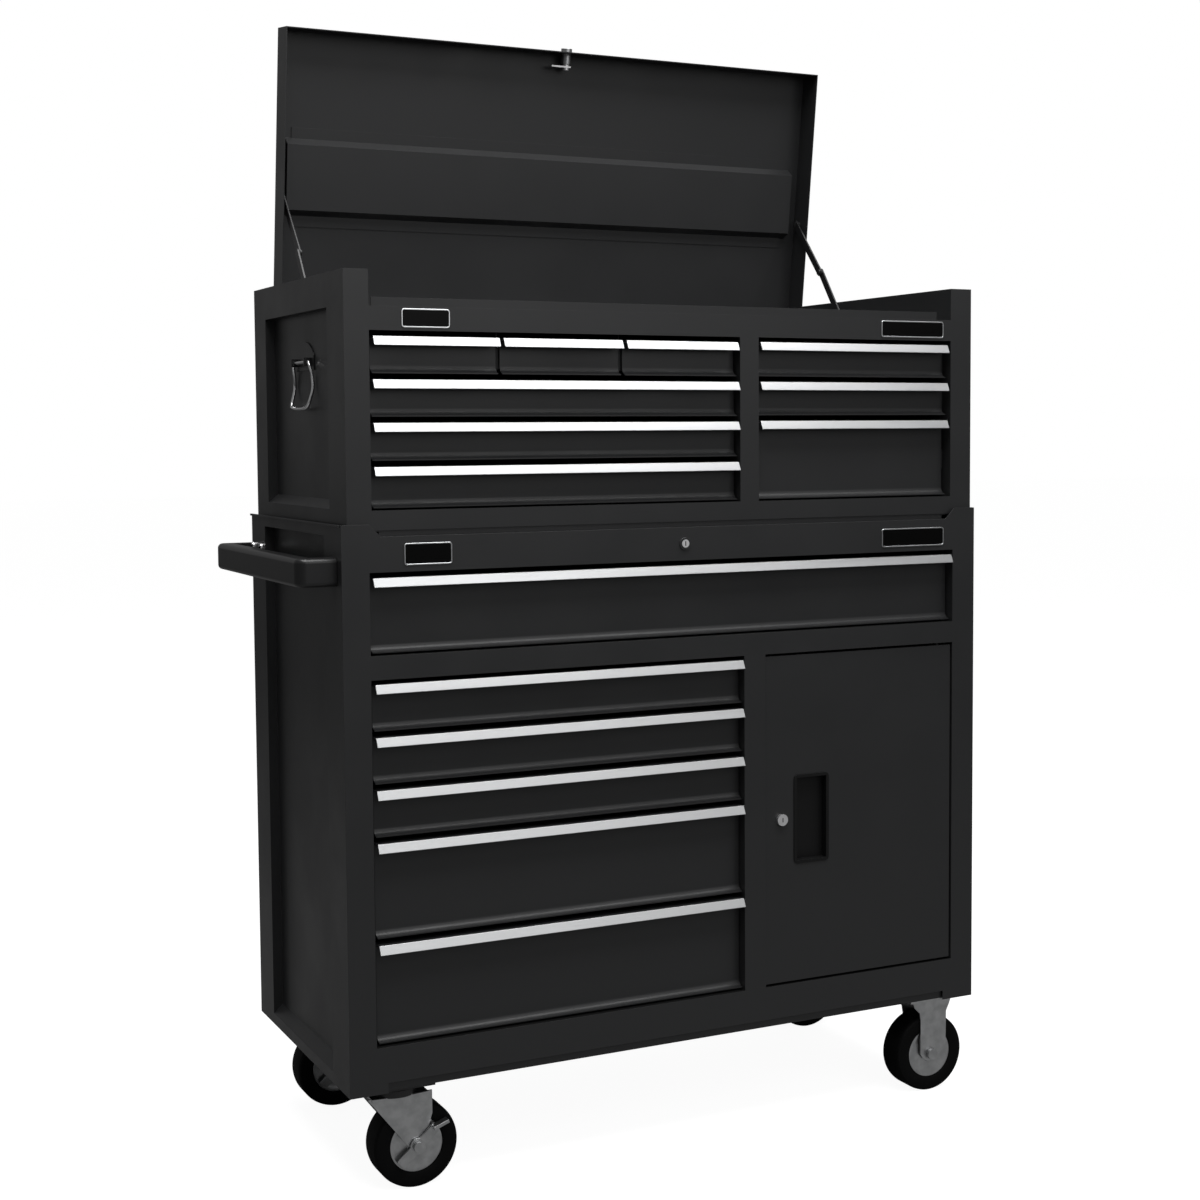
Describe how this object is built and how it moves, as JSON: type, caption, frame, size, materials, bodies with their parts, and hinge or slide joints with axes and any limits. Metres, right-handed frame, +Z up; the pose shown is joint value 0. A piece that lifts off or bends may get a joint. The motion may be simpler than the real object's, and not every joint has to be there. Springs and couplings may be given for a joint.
{
  "type": "rolling tool chest",
  "caption": "Two-stage rolling tool chest: lidded upper chest on a wheeled cabinet, with sliding drawers, a cupboard door, key locks, a side push handle and casters.",
  "frame": {"origin": "centre of the bounding box at floor level, lid open", "axes": "+X towards the cupboard side, -Y towards the front of the drawers, +Z up"},
  "size_m": [1.114, 0.4898, 1.7067],
  "materials": {
    "body_paint": "satin powder coat",
    "drawer_paint": "satin powder coat",
    "pull_aluminium": "satin brushed",
    "zinc_steel": "bright zinc plate",
    "bright_chrome": "polished",
    "black_steel": "satin black",
    "handle_plastic": "fine matte",
    "badge_plate": "satin",
    "tyre_rubber": "matte"
  },
  "bodies": {
    "cabinet": {"rollcab_shell": "body_paint", "rollcab_inner_panels": "body_paint", "topchest_shell": "body_paint", "topchest_inner_panels": "body_paint", "steel_fittings": "zinc_steel", "push_handle": "handle_plastic", "badge_plates": "badge_plate", "carry_plates_and_pivots": "black_steel", "caster_mounts": "zinc_steel"},
    "drawer_chest_small_left": {"tray_chest_small_left": "drawer_paint", "pull_chest_small_left": "pull_aluminium"},
    "drawer_chest_small_middle": {"tray_chest_small_middle": "drawer_paint", "pull_chest_small_middle": "pull_aluminium"},
    "drawer_chest_small_right": {"tray_chest_small_right": "drawer_paint", "pull_chest_small_right": "pull_aluminium"},
    "drawer_chest_bank_upper": {"tray_chest_bank_upper": "drawer_paint", "pull_chest_bank_upper": "pull_aluminium"},
    "drawer_chest_bank_middle": {"tray_chest_bank_middle": "drawer_paint", "pull_chest_bank_middle": "pull_aluminium"},
    "drawer_chest_bank_lower": {"tray_chest_bank_lower": "drawer_paint", "pull_chest_bank_lower": "pull_aluminium"},
    "drawer_chest_right_upper": {"tray_chest_right_upper": "drawer_paint", "pull_chest_right_upper": "pull_aluminium"},
    "drawer_chest_right_middle": {"tray_chest_right_middle": "drawer_paint", "pull_chest_right_middle": "pull_aluminium"},
    "drawer_chest_right_deep": {"tray_chest_right_deep": "drawer_paint", "pull_chest_right_deep": "pull_aluminium"},
    "drawer_cab_wide": {"tray_cab_wide": "drawer_paint", "pull_cab_wide": "pull_aluminium"},
    "drawer_cab_shallow_upper": {"tray_cab_shallow_upper": "drawer_paint", "pull_cab_shallow_upper": "pull_aluminium"},
    "drawer_cab_shallow_middle": {"tray_cab_shallow_middle": "drawer_paint", "pull_cab_shallow_middle": "pull_aluminium"},
    "drawer_cab_shallow_lower": {"tray_cab_shallow_lower": "drawer_paint", "pull_cab_shallow_lower": "pull_aluminium"},
    "drawer_cab_deep_upper": {"tray_cab_deep_upper": "drawer_paint", "pull_cab_deep_upper": "pull_aluminium"},
    "drawer_cab_deep_lower": {"tray_cab_deep_lower": "drawer_paint", "pull_cab_deep_lower": "pull_aluminium"},
    "door": {"door_panel": "body_paint", "door_pull_cup": "handle_plastic"},
    "door_lock": {"door_lock_core": "bright_chrome"},
    "cab_lock": {"cab_lock_core": "bright_chrome"},
    "lid": {"lid_shell": "body_paint", "lid_lock_and_hinge": "zinc_steel"},
    "lid_lock": {"lid_lock_core": "bright_chrome"},
    "stay_lower_left": {"stay_lower_left": "black_steel"},
    "stay_upper_left": {"stay_upper_left": "black_steel"},
    "stay_lower_right": {"stay_lower_right": "black_steel"},
    "stay_upper_right": {"stay_upper_right": "black_steel"},
    "carry_bail_left": {"carry_bail_left": "bright_chrome"},
    "carry_bail_right": {"carry_bail_right": "bright_chrome"},
    "fork_front": {"swivel_fork_front": "zinc_steel"},
    "brake_front": {"brake_lever_front": "zinc_steel"},
    "wheel_swivel_front": {"wheel_swivel_front": "tyre_rubber"},
    "wheel_fixed_front": {"wheel_fixed_front": "tyre_rubber"},
    "fork_rear": {"swivel_fork_rear": "zinc_steel"},
    "brake_rear": {"brake_lever_rear": "zinc_steel"},
    "wheel_swivel_rear": {"wheel_swivel_rear": "tyre_rubber"},
    "wheel_fixed_rear": {"wheel_fixed_rear": "tyre_rubber"}
  },
  "joints": [
    {"name": "slide_chest_small_left", "type": "slide", "parent": "cabinet", "child": "drawer_chest_small_left", "axis": [0, -1, 0], "range_m": [0, 0.34]},
    {"name": "slide_chest_small_middle", "type": "slide", "parent": "cabinet", "child": "drawer_chest_small_middle", "axis": [0, -1, 0], "range_m": [0, 0.34]},
    {"name": "slide_chest_small_right", "type": "slide", "parent": "cabinet", "child": "drawer_chest_small_right", "axis": [0, -1, 0], "range_m": [0, 0.34]},
    {"name": "slide_chest_bank_upper", "type": "slide", "parent": "cabinet", "child": "drawer_chest_bank_upper", "axis": [0, -1, 0], "range_m": [0, 0.34]},
    {"name": "slide_chest_bank_middle", "type": "slide", "parent": "cabinet", "child": "drawer_chest_bank_middle", "axis": [0, -1, 0], "range_m": [0, 0.34]},
    {"name": "slide_chest_bank_lower", "type": "slide", "parent": "cabinet", "child": "drawer_chest_bank_lower", "axis": [0, -1, 0], "range_m": [0, 0.34]},
    {"name": "slide_chest_right_upper", "type": "slide", "parent": "cabinet", "child": "drawer_chest_right_upper", "axis": [0, -1, 0], "range_m": [0, 0.34]},
    {"name": "slide_chest_right_middle", "type": "slide", "parent": "cabinet", "child": "drawer_chest_right_middle", "axis": [0, -1, 0], "range_m": [0, 0.34]},
    {"name": "slide_chest_right_deep", "type": "slide", "parent": "cabinet", "child": "drawer_chest_right_deep", "axis": [0, -1, 0], "range_m": [0, 0.34]},
    {"name": "slide_cab_wide", "type": "slide", "parent": "cabinet", "child": "drawer_cab_wide", "axis": [0, -1, 0], "range_m": [0, 0.34]},
    {"name": "slide_cab_shallow_upper", "type": "slide", "parent": "cabinet", "child": "drawer_cab_shallow_upper", "axis": [0, -1, 0], "range_m": [0, 0.34]},
    {"name": "slide_cab_shallow_middle", "type": "slide", "parent": "cabinet", "child": "drawer_cab_shallow_middle", "axis": [0, -1, 0], "range_m": [0, 0.34]},
    {"name": "slide_cab_shallow_lower", "type": "slide", "parent": "cabinet", "child": "drawer_cab_shallow_lower", "axis": [0, -1, 0], "range_m": [0, 0.34]},
    {"name": "slide_cab_deep_upper", "type": "slide", "parent": "cabinet", "child": "drawer_cab_deep_upper", "axis": [0, -1, 0], "range_m": [0, 0.34]},
    {"name": "slide_cab_deep_lower", "type": "slide", "parent": "cabinet", "child": "drawer_cab_deep_lower", "axis": [0, -1, 0], "range_m": [0, 0.34]},
    {"name": "door_hinge", "type": "hinge", "parent": "cabinet", "child": "door", "pos_m": [0.4906, -0.22889, 0.475], "axis": [0, 0, 1], "range_deg": [0, 105]},
    {"name": "door_lock_turn", "type": "hinge", "parent": "door", "child": "door_lock", "pos_m": [0.1956, -0.23789, 0.4775], "axis": [0, -1, 0], "range_deg": [0, 90]},
    {"name": "cab_lock_turn", "type": "hinge", "parent": "cabinet", "child": "cab_lock", "pos_m": [0.0288, -0.23988, 0.9088], "axis": [0, 1, 0], "range_deg": [0, 90]},
    {"name": "lid_hinge", "type": "hinge", "parent": "cabinet", "child": "lid", "pos_m": [0.0225, 0.21211, 1.265], "axis": [1, 0, 0], "range_deg": [0, 82.5]},
    {"name": "lid_lock_turn", "type": "hinge", "parent": "lid", "child": "lid_lock", "pos_m": [0.029, 0.16915, 1.6986], "axis": [0, -0.1305, 0.9914], "range_deg": [0, 90]},
    {"name": "stay_lower_left_pivot", "type": "hinge", "parent": "cabinet", "child": "stay_lower_left", "pos_m": [-0.4457, 0.04272, 1.243], "axis": [1, 0, 0], "range_deg": [0, 111.6]},
    {"name": "stay_upper_left_pivot", "type": "hinge", "parent": "lid", "child": "stay_upper_left", "pos_m": [-0.4457, 0.20289, 1.44231], "axis": [1, 0, 0], "range_deg": [-130.4, 0]},
    {"name": "stay_lower_right_pivot", "type": "hinge", "parent": "cabinet", "child": "stay_lower_right", "pos_m": [0.4917, 0.04272, 1.243], "axis": [1, 0, 0], "range_deg": [0, 111.6]},
    {"name": "stay_upper_right_pivot", "type": "hinge", "parent": "lid", "child": "stay_upper_right", "pos_m": [0.4917, 0.20289, 1.44231], "axis": [1, 0, 0], "range_deg": [-130.4, 0]},
    {"name": "carry_bail_left_swing", "type": "hinge", "parent": "cabinet", "child": "carry_bail_left", "pos_m": [-0.4818, -0.00288, 1.179], "axis": [0, 1, 0], "range_deg": [0, 90]},
    {"name": "carry_bail_right_swing", "type": "hinge", "parent": "cabinet", "child": "carry_bail_right", "pos_m": [0.5461, -0.00288, 1.179], "axis": [0, -1, 0], "range_deg": [0, 90]},
    {"name": "swivel_front", "type": "hinge", "parent": "cabinet", "child": "fork_front", "pos_m": [-0.422, -0.19289, 0.147], "axis": [0, 0, 1], "continuous": true},
    {"name": "swivel_wheel_front_roll", "type": "hinge", "parent": "fork_front", "child": "wheel_swivel_front", "pos_m": [-0.395, -0.19289, 0.0625], "axis": [0, 1, 0], "continuous": true},
    {"name": "brake_front_press", "type": "hinge", "parent": "fork_front", "child": "brake_front", "pos_m": [-0.395, -0.19289, 0.0625], "axis": [0, 1, 0], "range_deg": [0, 22]},
    {"name": "fixed_wheel_front_roll", "type": "hinge", "parent": "cabinet", "child": "wheel_fixed_front", "pos_m": [0.485, -0.19989, 0.0625], "axis": [0, 1, 0], "continuous": true},
    {"name": "swivel_rear", "type": "hinge", "parent": "cabinet", "child": "fork_rear", "pos_m": [-0.422, 0.17811, 0.147], "axis": [0, 0, 1], "continuous": true},
    {"name": "swivel_wheel_rear_roll", "type": "hinge", "parent": "fork_rear", "child": "wheel_swivel_rear", "pos_m": [-0.395, 0.17811, 0.0625], "axis": [0, 1, 0], "continuous": true},
    {"name": "brake_rear_press", "type": "hinge", "parent": "fork_rear", "child": "brake_rear", "pos_m": [-0.395, 0.17811, 0.0625], "axis": [0, 1, 0], "range_deg": [0, 22]},
    {"name": "fixed_wheel_rear_roll", "type": "hinge", "parent": "cabinet", "child": "wheel_fixed_rear", "pos_m": [0.485, 0.17411, 0.0625], "axis": [0, 1, 0], "continuous": true}
  ],
  "couplings": [
    {"joint": "stay_lower_left_pivot", "follows": "lid_hinge", "ratio": 1.3512},
    {"joint": "stay_upper_left_pivot", "follows": "lid_hinge", "ratio": -1.5788},
    {"joint": "stay_lower_right_pivot", "follows": "lid_hinge", "ratio": 1.3512},
    {"joint": "stay_upper_right_pivot", "follows": "lid_hinge", "ratio": -1.5788}
  ]
}
